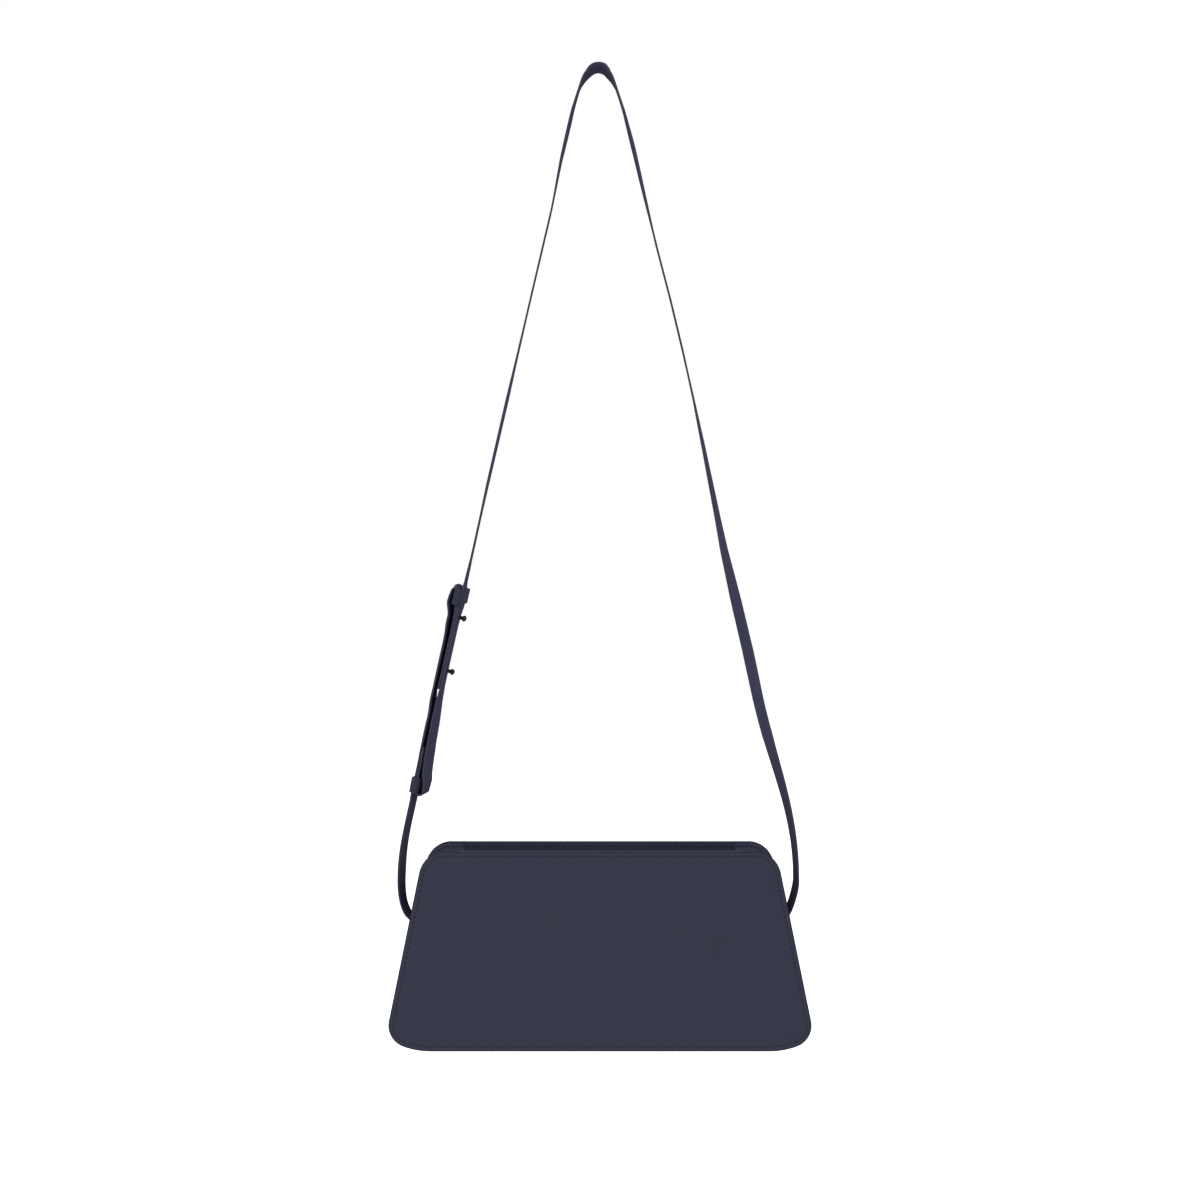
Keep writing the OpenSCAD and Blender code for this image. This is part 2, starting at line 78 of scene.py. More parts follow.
TILT = math.atan((PANEL_BASE_W - PANEL_TOP_W) / 2 / PANEL_H)
EDGE_R = 0.45 * MM
SEAM_IN = 2.9 * MM
GROOVE_HALF = 0.9 * MM
GROOVE_HOLLOW = 1.62 * MM
GROOVE_D = 0.12 * MM


def side_x(z, inset):
    return PANEL_BASE_W / 2 - z * math.tan(TILT) - inset / math.cos(TILT)


# Stations round the outline, clockwise from the middle of the top: a direction, and the place one
# corner radius inwards from the edge. Any inset is then the same list of points at another radius,
# so rings join without twisting. The lower corners are cut in two arcs, one short and one flat.
SIDE_DEG = math.degrees(TILT)
TOP_STEPS = 18


def straight(a, b, degrees, steps):
    return [((a[0] + (b[0] - a[0]) * i / steps, a[1] + (b[1] - a[1]) * i / steps), degrees)
            for i in range(steps)]


def corner(centre, radius, first, last, steps):
    stations = []
    for i in range(steps + 1):
        degrees = first + (last - first) * i / steps
        angle = math.radians(degrees)
        more = radius - CORNER_R
        stations.append(((centre[0] + more * math.cos(angle), centre[1] + more * math.sin(angle)),
                         degrees))
    return stations


def mirrored(half):
    return [((-place[0], place[1]), 180 - degrees) for place, degrees in half[::-1]]


high = (side_x(PANEL_H - CORNER_R, CORNER_R), PANEL_H - CORNER_R)
flat_from = math.radians(LOW_FLAT_DEG)
low_z = LOW_FLAT_R - (LOW_FLAT_R - LOW_SIDE_R) * math.cos(flat_from)
low = (side_x(low_z, LOW_SIDE_R), low_z)
flat = (low[0] - (LOW_FLAT_R - LOW_SIDE_R) * math.sin(flat_from), LOW_FLAT_R)
BOTTOM = ((0, CORNER_R), -90)
top_corner = corner(high, CORNER_R, 90, SIDE_DEG, steps=14)
low_corner = corner(low, LOW_SIDE_R, SIDE_DEG, LOW_FLAT_DEG - 90, steps=14)
flat_corner = corner(flat, LOW_FLAT_R, LOW_FLAT_DEG - 90, -90, steps=8)
RIGHT_HALF = (straight((0, high[1]), high, 90, TOP_STEPS) + top_corner[:-1]
              + straight(high, low_corner[0][0], SIDE_DEG, steps=18) + low_corner[:-1]
              + flat_corner[:-1] + straight(flat_corner[-1][0], BOTTOM[0], -90, steps=20))
STATIONS = RIGHT_HALF + [BOTTOM] + mirrored(RIGHT_HALF[1:])


def on_outline(station, inset, y):
    (cx, cz), degrees = station
    angle = math.radians(degrees)
    radius = CORNER_R - inset
    return Vector((cx + radius * math.cos(angle), y, BASE + cz + radius * math.sin(angle)))


def mesh_piece(name, points, faces, paints, materials, body):
    """A smooth piece from its points and faces. paints says which material each face has."""
    mesh = bpy.data.meshes.new(name)
    mesh.from_pydata([tuple(p) for p in points], [], faces)
    for material in materials:
        mesh.materials.append(material)
    mesh.polygons.foreach_set("material_index", paints)
    mesh.polygons.foreach_set("use_smooth", [True] * len(faces))
    bm = bmesh.new()
    bm.from_mesh(mesh)
    bmesh.ops.recalc_face_normals(bm, faces=bm.faces)
    bm.to_mesh(mesh)
    bm.free()
    piece = bpy.data.objects.new(name, mesh)
    bpy.context.scene.collection.objects.link(piece)
    if body:
        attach(piece, body)
    return piece


def loft(name, rings, materials, body, paint=lambda i, j: 0, closed=False):
    """Joins closed rings of points, one after the other, into one skin. A closed one joins its
    last ring to its first, and any other has a face across each end."""
    count, around = len(rings), len(rings[0])
    points = [p for ring in rings for p in ring]
    faces, paints = [], []
    for i in range(count if closed else count - 1):
        for j in range(around):
            k, n = (i + 1) % count, (j + 1) % around
            faces.append((i * around + j, i * around + n, k * around + n, k * around + j))
            paints.append(paint(i, j))
    if not closed:
        for i in (0, count - 1):
            faces.append(tuple(range(i * around, (i + 1) * around)))
            paints.append(paint(min(i, count - 2), 0))
    return mesh_piece(name, points, faces, paints, materials, body)


def linear(hex_colour):
    parts = [int(hex_colour[i:i + 2], 16) / 255 for i in (1, 3, 5)]
    return [c / 12.92 if c <= 0.04045 else ((c + 0.055) / 1.055) ** 2.4 for c in parts] + [1]


def add_node(tree, kind, settings=None, links=None, values=None):
    node = tree.nodes.new(kind)
    for key, value in (settings or {}).items():
        setattr(node, key, value)
    for key, value in (values or {}).items():
        node.inputs[key].default_value = value
    for key, socket in (links or {}).items():
        tree.links.new(socket, node.inputs[key])
    return node


def new_material(name, **shine):
    """An empty material with its shader, and the object's own coordinates to lay patterns on."""
    material = bpy.data.materials.new(name)
    material.use_nodes = True
    tree = material.node_tree
    shader = tree.nodes["Principled BSDF"]
    for key, value in shine.items():
        shader.inputs[key.replace("_", " ")].default_value = value
    where = add_node(tree, "ShaderNodeTexCoord").outputs["Object"]
    return material, tree, shader, where


HIDE_CLOUD = 38 * MM
HIDE_FIBRE = 0.25 * MM


def calf_leather(name, hex_colour, roughness=0.55, grain_mm=0.7, specular=0.22, relief_mm=0.05):
    """Chrome-tanned calf, drum-dyed and finished with a thin satin coat: fine pebbled grain that
    only shows where light grazes it, cloudy dye, and pores a shade darker than the hide. The
    grain is drawn about twice as coarse as on real calf, so that it shows."""
    material, tree, shader, where = new_material(name, Specular_IOR_Level=specular)
    cloud = add_node(tree, "ShaderNodeTexNoise", links={"Vector": where},
                     values={"Scale": 1 / HIDE_CLOUD, "Detail": 3.0, "Roughness": 0.5})
    cells = add_node(tree, "ShaderNodeTexVoronoi", links={"Vector": where},
                     settings={"feature": "SMOOTH_F1"},
                     values={"Scale": 1 / (grain_mm * MM), "Smoothness": 0.6})
    fibre = add_node(tree, "ShaderNodeTexNoise", links={"Vector": where},
                     values={"Scale": 1 / HIDE_FIBRE, "Detail": 2.0})
    dye = add_node(tree, "ShaderNodeMapRange", links={"Value": cloud.outputs["Fac"]},
                   values={"From Min": 0.3, "From Max": 0.7, "To Min": 0.93, "To Max": 1.07})
    pore = add_node(tree, "ShaderNodeMapRange", links={"Value": cells.outputs["Distance"]},
                    values={"From Min": 0.2, "From Max": 0.9, "To Min": 1.02, "To Max": 0.9})
    shade = add_node(tree, "ShaderNodeMath", settings={"operation": "MULTIPLY"},
                     links={0: dye.outputs["Result"], 1: pore.outputs["Result"]})
    hide = add_node(tree, "ShaderNodeVectorMath", settings={"operation": "SCALE"},
                    links={"Scale": shade.outputs["Value"]},
                    values={0: linear(hex_colour)[:3]})
    tree.links.new(hide.outputs["Vector"], shader.inputs["Base Color"])
    gloss = add_node(tree, "ShaderNodeMapRange", links={"Value": cloud.outputs["Fac"]},
                     values={"From Min": 0.3, "From Max": 0.7,
                             "To Min": roughness - 0.05, "To Max": roughness + 0.06})
    tree.links.new(gloss.outputs["Result"], shader.inputs["Roughness"])
    relief = add_node(tree, "ShaderNodeMath", settings={"operation": "MULTIPLY_ADD"},
                      links={0: fibre.outputs["Fac"], 2: cells.outputs["Distance"]},
                      values={1: -0.25})
    bump = add_node(tree, "ShaderNodeBump", settings={"invert": True},
                    links={"Height": relief.outputs["Value"]},
                    values={"Strength": 0.35, "Distance": relief_mm * MM})
    tree.links.new(bump.outputs["Normal"], shader.inputs["Normal"])
    return material


def edge_paint(name, hex_colour, specular):
    """Water-based edge paint over a sanded cut: thick, rounded and matt, with the faint waves
    that an edge roller leaves every few millimetres."""
    material, tree, shader, where = new_material(
        name, Base_Color=linear(hex_colour), Roughness=0.6, Specular_IOR_Level=specular)
    waves = add_node(tree, "ShaderNodeTexNoise", links={"Vector": where},
                     values={"Scale": 1 / (4 * MM), "Detail": 2.0})
    bump = add_node(tree, "ShaderNodeBump", links={"Height": waves.outputs["Fac"]},
                    values={"Strength": 0.5, "Distance": 0.12 * MM})
    tree.links.new(bump.outputs["Normal"], shader.inputs["Normal"])
    return material


def bonded_thread(name, hex_colour):
    """Bonded polyester sewing thread: three twisted plies, drawn as a slanting band every
    0.6 mm, which shows as a slight sparkle along the row."""
    material, tree, shader, where = new_material(
        name, Base_Color=linear(hex_colour), Roughness=0.6, Specular_IOR_Level=0.3)
    plies = add_node(tree, "ShaderNodeTexWave", links={"Vector": where},
                     settings={"bands_direction": "DIAGONAL"},
                     values={"Scale": 1 / (3 * 0.6 * MM)})
    bump = add_node(tree, "ShaderNodeBump", links={"Height": plies.outputs["Fac"]},
                    values={"Strength": 0.6, "Distance": 0.1 * MM})
    tree.links.new(bump.outputs["Normal"], shader.inputs["Normal"])
    return material


navy_calf = calf_leather("navy_calf", "#2a2d40")
navy_edge = edge_paint("navy_edge_paint", "#1e202c", specular=0.04)
# The thread is drawn darker than the leather: painted shade, standing for the shade that falls in
# the stitch grooves.
navy_thread_painted_shade = bonded_thread("navy_thread_painted_shade", "#12131e")


def rounded_edge(face_y, back_y, radius):
    """The painted edge of a piece of leather from its back to its face, as (inset, y) pairs."""
    inwards = math.copysign(radius, back_y - face_y)
    turn = [(radius * (1 - math.sin(math.radians(a))), inwards * (1 - math.cos(math.radians(a))))
            for a in (0, 25, 50, 75, 90)]
    return ([(inset, back_y - y) for inset, y in turn]
            + [(inset, face_y + y) for inset, y in turn[::-1]])


# The face isn't quite flat: it crowns over the board behind it, and the hide has faint waves.
CROWN = 0.5 * MM
WAVE = 0.09 * MM
WAVE_ACROSS = 23 * MM
WAVE_UP = 17 * MM
INNER_RIM = 12 * MM
FACE_STEPS = (6.5 * MM, 9 * MM, INNER_RIM)
BACK_STEP = 6 * MM
FACE_MIDDLE = 0.47
FACE_SHARES = (0.9, 0.75, 0.6, 0.45, 0.3, 0.15, 0.03)


def panel(name, face_y, out):
    """A panel as rings from the middle of its back, round its edge, to the middle of its face.
    out is -1 where the face looks towards -Y."""
    back_y = face_y - out * PANEL_T
    back = [(INNER_RIM, back_y), (BACK_STEP, back_y)]
    section = back + rounded_edge(face_y, back_y, EDGE_R)
    painted = range(len(back), len(section) - 1)
    section.append((SEAM_IN - GROOVE_HALF, face_y))
    for share in (-0.5, -0.25, 0, 0.25, 0.5):
        dip = GROOVE_D * math.cos(math.pi * share) ** 2
        section.append((SEAM_IN + GROOVE_HOLLOW * share, face_y - out * dip))
    section += [(inset, face_y) for inset in (SEAM_IN + GROOVE_HALF, *FACE_STEPS)]
    rings = [[on_outline(s, inset, y) for s in STATIONS] for inset, y in section]
    rim, middle_z = rings[-1], BASE + PANEL_H * FACE_MIDDLE
    for share in FACE_SHARES:
        ring = []
        for p in rim:
            x, z = p.x * share, middle_z + (p.z - middle_z) * share
            wave = WAVE * math.sin(x / WAVE_ACROSS + 1) * math.cos(z / WAVE_UP)
            ring.append(Vector((x, p.y + out * (1 - share) * (CROWN * (1 + share) + wave), z)))
        rings.append(ring)
    piece = loft(name, rings, [navy_calf, navy_edge], "bag",
                 paint=lambda i, j: 1 if i in painted else 0)
    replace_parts(piece, name)


panel("front_panel", FRONT_Y, -1)
panel("back_panel", -FRONT_Y, 1)


# One stitch from end to end: the place along it, its thickness there and how far it stands up,
# each as a share of its length or of the thread's thickness.
STITCH_SHAPE = ((-0.5, 0.35, -0.35), (-0.42, 0.8, 0.02), (-0.2, 1, 0.2), (0.2, 1, 0.2),
                (0.42, 0.8, 0.02), (0.5, 0.35, -0.35))
STITCH_PITCH = 3.15 * MM
STITCH_L = 2.1 * MM
THREAD_T = 0.6 * MM
THREAD_FLAT = 0.8
THREAD_SIDES = 6


def spaced(route, pitch):
    """Places along a route at an even pitch, each a point and the direction of travel there."""
    route = [Vector(p) for p in route]
    lengths = [0]
    for a, b in zip(route, route[1:]):
        lengths.append(lengths[-1] + (b - a).length)
    count = max(1, round(lengths[-1] / pitch))
    places, k = [], 0
    for i in range(count):
        want = (i + 0.5) * lengths[-1] / count
        while lengths[k + 1] < want:
            k += 1
        part = (want - lengths[k]) / (lengths[k + 1] - lengths[k])
        places.append((route[k].lerp(route[k + 1], part), (route[k + 1] - route[k]).normalized()))
    return places


def stitches(name, route, outwards):
    """A row of lockstitch along a route, on leather that faces outwards there."""
    up = Vector(outwards).normalized()
    points, faces = [], []
    for place, along in spaced(route, STITCH_PITCH):
        across = along.cross(up).normalized()
        first = len(points)
        for t, swell, lift in STITCH_SHAPE:
            for k in range(THREAD_SIDES):
                angle = math.radians(360 / THREAD_SIDES * k)
                points.append(place + along * STITCH_L * t
                              + across * THREAD_T / 2 * swell * math.cos(angle)
                              + up * THREAD_T / 2 * (swell * math.sin(angle) * THREAD_FLAT + lift))
        last = len(points) - THREAD_SIDES
        for ring in range(first, last, THREAD_SIDES):
            for k in range(THREAD_SIDES):
                a, b = ring + k, ring + (k + 1) % THREAD_SIDES
                faces.append((a, b, b + THREAD_SIDES, a + THREAD_SIDES))
        for end in (first, last):
            faces.append(tuple(end + k for k in range(THREAD_SIDES)))
    piece = mesh_piece(name, points, faces, [0] * len(faces), [navy_thread_painted_shade], "bag")


for side, face_y, out in (("front", FRONT_Y, -1), ("back", -FRONT_Y, 1)):
    seam = [on_outline(s, SEAM_IN, face_y - out * GROOVE_D / 2) for s in STATIONS + STATIONS[:1]]
    stitches(side + "_panel_stitches", seam, (0, out, 0))

# Gusset
# One band of the same calf, moulded over a wooden block so that it lies 5 mm inside the panels'
# edges, with both its edges turned out flat behind the rims, sewn there and edge-painted.
RECESS = 5 * MM
GUSSET_T = 1.6 * MM
GUSSET_TIP_R = 0.45 * MM
INNER_BEND_R = 1.4 * MM
OUTER_BEND_R = 2.6 * MM
BEHIND_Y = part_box("gusset")[1][1]
TURN_Y = BEHIND_Y - GUSSET_T
WEB_STEP_Y = 12 * MM
MOUTH_HALF = 84 * MM

half_band = straight((MOUTH_HALF, high[1]), high, 90, steps=3) + RIGHT_HALF[TOP_STEPS:]
BAND = half_band + [BOTTOM] + mirrored(half_band)


def bend(inset, y, radius, first, last, steps=5):
    """A quarter bend in the band's section, round a centre at an inset and a depth."""
    turn = [math.radians(first + (last - first) * i / steps) for i in range(steps + 1)]
    return [(inset + radius * math.cos(a), y + radius * math.sin(a)) for a in turn]


web_out = [(RECESS, 0), (RECESS, WEB_STEP_Y)] + bend(
    RECESS - INNER_BEND_R, TURN_Y - INNER_BEND_R, INNER_BEND_R, 0, 90)
flange = rounded_edge(BEHIND_Y, TURN_Y, GUSSET_TIP_R)
web_in = bend(RECESS + GUSSET_T - OUTER_BEND_R, BEHIND_Y - OUTER_BEND_R, OUTER_BEND_R, 90, 0)
back_half = web_out + flange + web_in + [(RECESS + GUSSET_T, WEB_STEP_Y)]
band_section = back_half + [(inset, -y) for inset, y in back_half[:0:-1]]
tip_from = len(web_out)
tip_to = tip_from + len(flange) - 1
TIPS = set(range(tip_from, tip_to)) | set(
    range(len(band_section) - tip_to, len(band_section) - tip_from))

# The same calf as the panels, drawn lighter: painted light that makes up for the shade the gusset
# lies in, 5 mm inside the panels' rims.
gusset_calf_painted_light = calf_leather("gusset_calf_painted_light", "#393c52")
gusset = loft("gusset", [[on_outline(s, inset, y) for inset, y in band_section] for s in BAND],
              [gusset_calf_painted_light, navy_edge], "bag", paint=lambda i, j: 1 if j in TIPS else 0)
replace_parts(gusset, "gusset")

for side, y in (("front", -TURN_Y), ("back", TURN_Y)):
    seam = [on_outline(s, SEAM_IN, y) for s in BAND]
    stitches(side + "_gusset_stitches", seam, (0, -y, 0))


def cut_out(piece, cutter):
    """Cuts the cutter's shape out of a piece for good, and takes the cutter away."""
    modifier = piece.modifiers.new("cut", "BOOLEAN")
    modifier.object = cutter
    modifier.solver = "EXACT"
    bpy.context.view_layer.update()
    seen = piece.evaluated_get(bpy.context.evaluated_depsgraph_get())
    whole = bpy.data.meshes.new_from_object(seen)
    piece.modifiers.clear()
    piece.data = whole
    bpy.data.objects.remove(cutter)


def prism(name, outline, shift):
    """A closed solid between an outline and the same outline moved along by a shift."""
    return loft(name, [outline, [p + shift for p in outline]], [], None)


# A slit in each side for the strap, whose leather lies close under the slit's upper lip.
SLIT_Z = 75 * MM
SLIT_DROP = 0.5 * MM
SLIT_HALF_H = 1.35 * MM
SLIT_HALF_W = 9.5 * MM
SLIT_POINTS = 32
CUTTER_L = 12 * MM
slit_x = side_x(SLIT_Z, RECESS)
for side in (-1, 1):
    oval = []
    for k in range(SLIT_POINTS):
        angle = math.tau * k / SLIT_POINTS
        middle_y = math.copysign(SLIT_HALF_W - SLIT_HALF_H, math.cos(angle))
        oval.append(Vector((side * slit_x - CUTTER_L / 2,
                            middle_y + SLIT_HALF_H * math.cos(angle),
                            BASE + SLIT_Z - SLIT_DROP + SLIT_HALF_H * math.sin(angle))))
    cut_out(gusset, prism("slit_cutter", oval, Vector((CUTTER_L, 0, 0))))

# Boards, lining and pocket
# Pressed fibre board, glued behind each panel, keeps it flat. Cotton twill is glued over the
# boards and the gusset, and a slip pocket of the same twill is sewn to the back lining.
POCKET_EDGE = 0.3 * MM
BASE_BOARD_EDGE = 0.5 * MM
SHARP_DEG = 40


def pressed_board(name, hex_colour):
    """Pressed fibre board, raw: matt, grey-brown, with short flecks of darker fibre in it."""
    material, tree, shader, where = new_material(name, Roughness=0.9, Specular_IOR_Level=0.2)
    fleck = add_node(tree, "ShaderNodeTexNoise", links={"Vector": where},
                     values={"Scale": 1 / (1.2 * MM), "Detail": 3.0})
    ramp = add_node(tree, "ShaderNodeMapRange", links={"Value": fleck.outputs["Fac"]},
                    values={"From Min": 0.3, "From Max": 0.7, "To Min": 0.8, "To Max": 1.15})
    tint = add_node(tree, "ShaderNodeVectorMath", settings={"operation": "SCALE"},
                    links={"Scale": ramp.outputs["Result"]}, values={0: linear(hex_colour)[:3]})
    tree.links.new(tint.outputs["Vector"], shader.inputs["Base Color"])
    return material


def woven(name, hex_colour, pitch_mm, roughness, direction="DIAGONAL"):
    """Woven cloth: one band of light and shade for each thread, across a second, finer band, so
    that it reads as twill where the bands slant and as tape where they run straight."""
    material, tree, shader, where = new_material(
        name, Base_Color=linear(hex_colour), Roughness=roughness, Specular_IOR_Level=0.2,
        Sheen_Weight=0.15)
    threads = [add_node(tree, "ShaderNodeTexWave", links={"Vector": where},
                        settings={"bands_direction": way},
                        values={"Scale": 1 / (3 * pitch_mm * MM), "Distortion": 0.4})
               for way in (direction, "Y")]
    cross = add_node(tree, "ShaderNodeMath", settings={"operation": "MULTIPLY"},
                     links={0: threads[0].outputs["Fac"], 1: threads[1].outputs["Fac"]})
    bump = add_node(tree, "ShaderNodeBump", links={"Height": cross.outputs["Value"]},
                    values={"Strength": 0.6, "Distance": 0.15 * MM})
    tree.links.new(bump.outputs["Normal"], shader.inputs["Normal"])
    return material


def finish(node, material, edge=0):
    """Gives a CAD node its material, and takes the sharpness off its edges."""
    piece = frame["nodes"][node]
    if not piece.material_slots:
        piece.data.materials.append(material)
    for place in piece.material_slots:
        place.link = "OBJECT"
        place.material = material
    if edge:
        bevel = piece.modifiers.new("broken_edges", "BEVEL")
        bevel.width = edge
        bevel.segments = 2
        bevel.limit_method = "ANGLE"
        bevel.angle_limit = math.radians(SHARP_DEG)


grey_board = pressed_board("pressed_fibre_board", "#8b8171")
dark_twill = woven("cotton_twill", "#171922", pitch_mm=0.5, roughness=0.85)
for node in ("front_stiffener", "back_stiffener"):
    finish(node, grey_board)
for node in ("front_lining", "back_lining", "gusset_lining"):
    finish(node, dark_twill)
finish("inner_pocket", dark_twill, POCKET_EDGE)
finish("base_board", dark_twill, BASE_BOARD_EDGE)

# Zip facings and end tabs
# Two thin strips of leather carry the zip 9 mm below the rims, each with a flange sewn behind its
# panel, and a leather tab closes the zip at each end.
FACING_EDGE = 0.3 * MM
LIP_SEAM_IN = 1.6 * MM
LIP_SEAM_SHORT = 1 * MM
TAB_SEAM_IN = 1.8 * MM
TAB_SEAM_HALF = 21 * MM
# Drawn lighter than the panels' calf: painted light that makes up for the shade down between the
# panels where the facings lie.
facing_calf_painted_light = calf_leather("facing_calf_painted_light", "#333549", roughness=0.6, grain_mm=0.6)
for node in ("zip_facing_front", "zip_facing_back", "zip_end_tab_left", "zip_end_tab_right"):
    finish(node, facing_calf_painted_light, FACING_EDGE)

tab_low, tab_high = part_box("zip_end_tab_right")
facing_top = tab_low[2]
facing_lip_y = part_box("zip_facing_back")[0][1]
for side, sign in (("front", -1), ("back", 1)):
    y = sign * (facing_lip_y + LIP_SEAM_IN)
    end_x = tab_low[0] - LIP_SEAM_SHORT
    stitches(side + "_zip_stitches", [(-end_x, y, facing_top), (end_x, y, facing_top)], (0, 0, 1))
    rim = [(x, sign * TURN_Y, BASE + PANEL_H - SEAM_IN) for x in (-MOUTH_HALF, MOUTH_HALF)]
    stitches(side + "_rim_stitches", rim, (0, -sign, 0))
for side, sign in (("left", -1), ("right", 1)):
    x = sign * (tab_low[0] + TAB_SEAM_IN)
    seam = [(x, y, tab_high[2]) for y in (-TAB_SEAM_HALF, TAB_SEAM_HALF)]
    stitches(side + "_tab_stitches", seam, (0, 0, 1))

# Zip
# A 6 mm chain of plated metal teeth on two woven tapes. The teeth are separate pieces, and behind
# the open slider the tapes are cut into lengths of one tooth's pitch.
TOOTH_PITCH = 3.2 * MM
TOOTH_W = 1.4 * MM
CHAIN_T = 2.4 * MM
CUT_SHARE = 0.3
TAPE_IN = 1.6 * MM
TAPE_BEAD_R = 0.75 * MM
TAPE_T = 0.6 * MM
TAPE_STEP_Y = 9 * MM
OPENING = 7.5 * MM
LENS_POWER = 0.8
zip_z = (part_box("zip_tape_front")[0][2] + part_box("zip_tape_front")[1][2]) / 2
tape_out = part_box("zip_tape_back")[1][1]
tape_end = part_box("zip_tape_back")[1][0]
slider_low, slider_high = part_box("zip_slider")
slide = next(joint for joint in frame["joints"] if joint["name"] == "zip_slide")
slide_l = max(abs(limit) for limit in slide["range_m"])
slider_open_x = (slider_low[0] + slider_high[0]) / 2 - slide_l
WEDGE_FROM = 1 * MM
WEDGE_TO = 6.5 * MM
PARTS_AFTER = 5.5 * MM
PAST_STOPS = 1 * MM
opens_from = slider_open_x + PARTS_AFTER
opens_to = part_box("zip_top_stops")[1][0] + PAST_STOPS


def parting(x):
    """How far one side of the chain stands away from the middle at x when the zip is open."""
    share = (x - opens_from) / (opens_to - opens_from)
    return OPENING * math.sin(math.pi * share) ** LENS_POWER if 0 < share < 1 else 0


def gunmetal(name, hex_colour):
    """Zinc and brass plated dark: a warm grey metal, satin, with faint uneven spots of plating."""
    material, tree, shader, where = new_material(
        name, Base_Color=linear(hex_colour), Roughness=0.42, Metallic=0.85,
        Specular_IOR_Level=0.1, Specular_Tint=linear("#6c6d70"))
    spots = add_node(tree, "ShaderNodeTexNoise", links={"Vector": where},
                     values={"Scale": 1 / (0.8 * MM), "Detail": 2.0})
    bump = add_node(tree, "ShaderNodeBump", links={"Height": spots.outputs["Fac"]},
                    values={"Strength": 0.15, "Distance": 0.03 * MM})
    tree.links.new(bump.outputs["Normal"], shader.inputs["Normal"])
    return material


dark_gunmetal = gunmetal("dark_gunmetal", "#303135")
zip_tape_cloth = woven("woven_polyester_tape", "#191b25", pitch_mm=0.45, roughness=0.8,
                       direction="X")


def box_ring(y, half_x, half_z, x):
    """A rectangle with cut corners round the chain's line, across Y."""
    a = 1 - CUT_SHARE
    corners = ((1, -a), (1, a), (a, 1), (-a, 1), (-1, a), (-1, -a), (-a, -1), (a, -1))
    return [Vector((x + half_x * i, y, zip_z + half_z * j)) for i, j in corners]


# A tooth from its clamp to its nose: mm past the chain's middle, then its width and height there,
# as shares of a full tooth.
TOOTH_SHAPE = ((-3.0, 0.8, 0.82), (-2.8, 0.95, 0.95), (-2.5, 1, 1), (-0.9, 1, 1),
               (-0.6, 0.82, 0.9), (-0.1, 0.8, 0.85), (0.3, 1, 0.8), (0.75, 0.9, 0.7),
               (1.0, 0.55, 0.45))


def tooth(name, x, sign):
    """One tooth: a clamp on the tape's bead, a waist, and a nose that locks into its neighbours."""
    rings = [box_ring(-sign * y * MM, TOOTH_W / 2 * w, CHAIN_T / 2 * h, x)
             for y, w, h in TOOTH_SHAPE]
    piece = loft(name, rings, [dark_gunmetal], "bag")
    gone = parting(x)
    if WEDGE_FROM < x - slider_open_x < WEDGE_TO:
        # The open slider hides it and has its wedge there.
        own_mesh(piece)
    elif gone:
        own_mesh(piece)
    return piece


def tape(name, x0, x1, sign):
    """A length of one tape with the bead that the teeth clamp."""
    bead = [math.radians(a) for a in (140, 95, 50, 0, -50, -95, -140)]
    bead_y = TAPE_IN + TAPE_BEAD_R
    section = ([(tape_out, -TAPE_T / 2), (tape_out, TAPE_T / 2), (TAPE_STEP_Y, TAPE_T / 2)]
               + [(bead_y - TAPE_BEAD_R * math.cos(a), TAPE_BEAD_R * math.sin(a))
                  for a in bead]
               + [(TAPE_STEP_Y, -TAPE_T / 2)])
    rings = [[Vector((x, sign * y, zip_z + z)) for y, z in section] for x in (x0, x1)]
    piece = loft(name, rings, [zip_tape_cloth], "bag")
    gone = parting((x0 + x1) / 2)
    if gone:
        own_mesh(piece)
    return piece


for side, sign in (("front", -1), ("back", 1)):
    first_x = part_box("zip_teeth_" + side)[0][0] + TOOTH_W / 2
    last_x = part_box("zip_teeth_" + side)[1][0]
    count = round((last_x - first_x) / TOOTH_PITCH + 0.5)
    teeth = [tooth(f"{side}_tooth_{i + 1}", first_x + i * TOOTH_PITCH, sign) for i in range(count)]
    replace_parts(teeth[0], "zip_teeth_" + side)
    cuts = [-tape_end, opens_from]
    while cuts[-1] + TOOTH_PITCH < opens_to:
        cuts.append(cuts[-1] + TOOTH_PITCH)
    cuts += [opens_to, tape_end]
    tapes = [tape(f"{side}_tape_{i + 1}", a, b, sign)
             for i, (a, b) in enumerate(zip(cuts, cuts[1:]))]
    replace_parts(tapes[0], "zip_tape_" + side)

METAL_EDGE = 0.2 * MM
for node in ("zip_top_stops", "zip_bottom_stop", "zip_slider", "zip_pull"):
    finish(node, dark_gunmetal, METAL_EDGE)

# Strap
# Bridle leather, split to an even 1.2 mm, its edges rounded and painted. The long strap runs from
# the right side over the top to the lower keeper, the short one from the left side to the upper.

# Every length from here to the studs is in mm, and every height is above the base.
STRAP_W = 18
STRAP_T = 1.2
STRAP_EDGE_R = 0.45
HANG_H = 596
PEG_R = 11.3
BOW_RISE = 25
LAYER_GAP = 0.15
KEEPER_Z = 157
KEEPER_X = 113
KEEPER_GAP = 119
KEEPER_H = 9.5
STUD_DROP = 12.4
STUD_PITCH = 33.5

# Routes are lists of (x, z) along the middle of the leather.
slit_x_mm = slit_x / MM
slit_z_mm = SLIT_Z / MM
bend_r = PEG_R + STRAP_T / 2
layer = STRAP_T + LAYER_GAP


def leg_tilt(x, z):
    """The lean of a leg that leaves the top bend at a tangent and comes down to (x, z)."""
    fall = HANG_H - PEG_R - z
    return math.acos(bend_r / math.hypot(x, fall)) - math.atan2(fall, abs(x))


